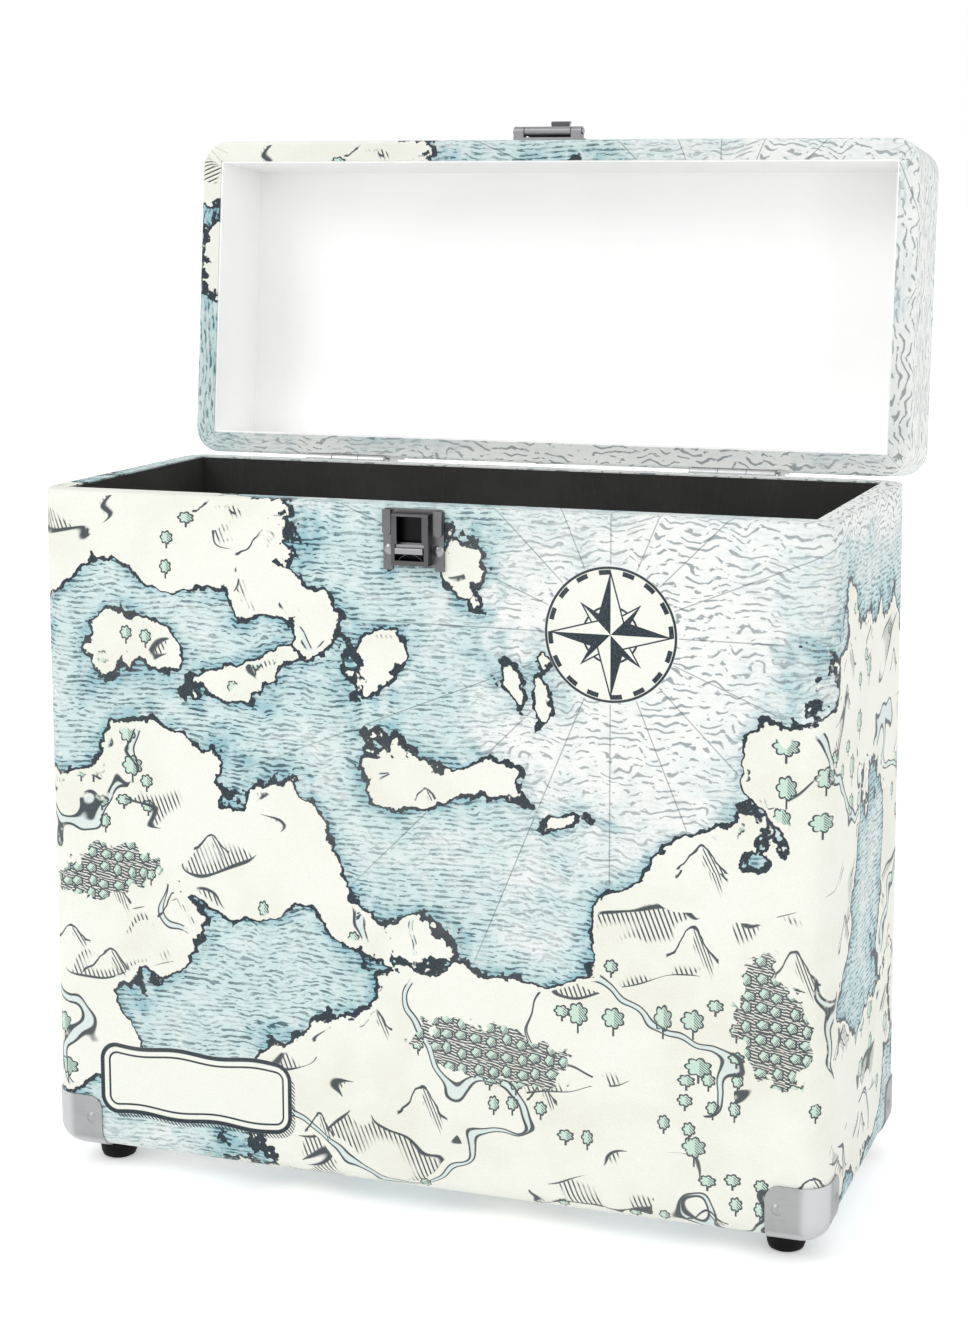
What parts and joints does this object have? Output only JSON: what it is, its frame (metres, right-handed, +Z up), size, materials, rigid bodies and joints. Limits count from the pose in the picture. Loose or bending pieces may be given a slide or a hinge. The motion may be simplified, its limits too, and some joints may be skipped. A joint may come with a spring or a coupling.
{
  "type": "record carrying case",
  "caption": "Upright record carrying case in printed leatherette: hinged lid with hasp and sprung catch, steel corner guards, rubber feet and a moulded swing handle.",
  "frame": {"origin": "on the floor, on the centre line, under the middle of the open case's whole depth", "axes": "+Z up, +X to the right of someone who faces the catch, +Y to the back where the hinges are"},
  "size_m": [0.3536, 0.2389, 0.4647],
  "materials": {
    "covering_body": "printed leatherette in pale turquoise, cream and dark slate, semi-matt with a fine grain",
    "covering_lid": "the same printed leatherette",
    "board": "raw wood-fibre board, hidden under covering and lining",
    "lining_dark": "matt black lining paper",
    "lining_light": "smooth white lining paper",
    "guard_steel": "pressed steel, satin",
    "rivet_steel": "domed steel rivets, satin",
    "foot_rubber": "moulded black rubber, matt",
    "plated_steel": "zinc-plated steel, semi-bright",
    "nickel": "dull nickel plate",
    "spring_steel": "blued spring steel",
    "grip": "moulded black plastic with a fine leather grain"
  },
  "bodies": {
    "case_body": {"body_back_board": "board", "body_back_lining": "lining_dark", "body_base_board": "board", "body_base_lining": "lining_dark", "body_covering": "covering_body", "body_front_board": "board", "body_front_lining": "lining_dark", "body_left_board": "board", "body_left_lining": "lining_dark", "body_right_board": "board", "body_right_lining": "lining_dark", "catch_housing": "nickel", "catch_plate": "nickel", "catch_rivets": "nickel", "catch_spring": "spring_steel", "corner_guard_back_left": "guard_steel", "corner_guard_back_right": "guard_steel", "corner_guard_front_left": "guard_steel", "corner_guard_front_right": "guard_steel", "corner_guard_rivets": "rivet_steel", "foot_back_left": "foot_rubber", "foot_back_right": "foot_rubber", "foot_front_left": "foot_rubber", "foot_front_right": "foot_rubber", "foot_screws": "plated_steel", "hinge_body_leaf_left": "plated_steel", "hinge_body_leaf_right": "plated_steel", "hinge_body_rivets": "plated_steel", "hinge_pin_left": "plated_steel", "hinge_pin_right": "plated_steel"},
    "lid": {"handle_bracket_left": "plated_steel", "handle_bracket_right": "plated_steel", "handle_pin_left": "plated_steel", "handle_pin_right": "plated_steel", "handle_rivets": "plated_steel", "hasp_pin": "nickel", "hasp_plate": "nickel", "hasp_rivets": "nickel", "hinge_lid_leaf_left": "plated_steel", "hinge_lid_leaf_right": "plated_steel", "hinge_lid_rivets": "plated_steel", "lid_back_board": "board", "lid_back_lining": "lining_light", "lid_covering": "covering_lid", "lid_front_board": "board", "lid_front_lining": "lining_light", "lid_left_board": "board", "lid_left_lining": "lining_light", "lid_right_board": "board", "lid_right_lining": "lining_light", "lid_top_board": "board", "lid_top_lining": "lining_light"},
    "hasp_flap": {"hasp_flap": "nickel"},
    "catch_slide": {"catch_slide": "nickel"},
    "handle": {"handle_grip": "grip", "handle_strap": "plated_steel"}
  },
  "joints": [
    {"name": "lid_hinge", "type": "hinge", "parent": "case_body", "child": "lid", "pos_m": [0, 0.0387, 0.3055], "axis": [1, 0, 0], "range_deg": [0, 96]},
    {"name": "hasp_hinge", "type": "hinge", "parent": "lid", "child": "hasp_flap", "pos_m": [0, 0.05942, 0.45958], "axis": [1, 0, 0], "range_deg": [0, 165]},
    {"name": "handle_pivot", "type": "hinge", "parent": "lid", "child": "handle", "pos_m": [0, 0.11121, 0.3745], "axis": [1, 0, 0], "range_deg": [-6, 174]},
    {"name": "catch_slide_travel", "type": "slide", "parent": "case_body", "child": "catch_slide", "axis": [0, 0, 1], "range_m": [-0.0024, 0], "stiffness_N_per_m": 300, "springref_m": 0.004, "deforming": ["catch_spring"]}
  ]
}
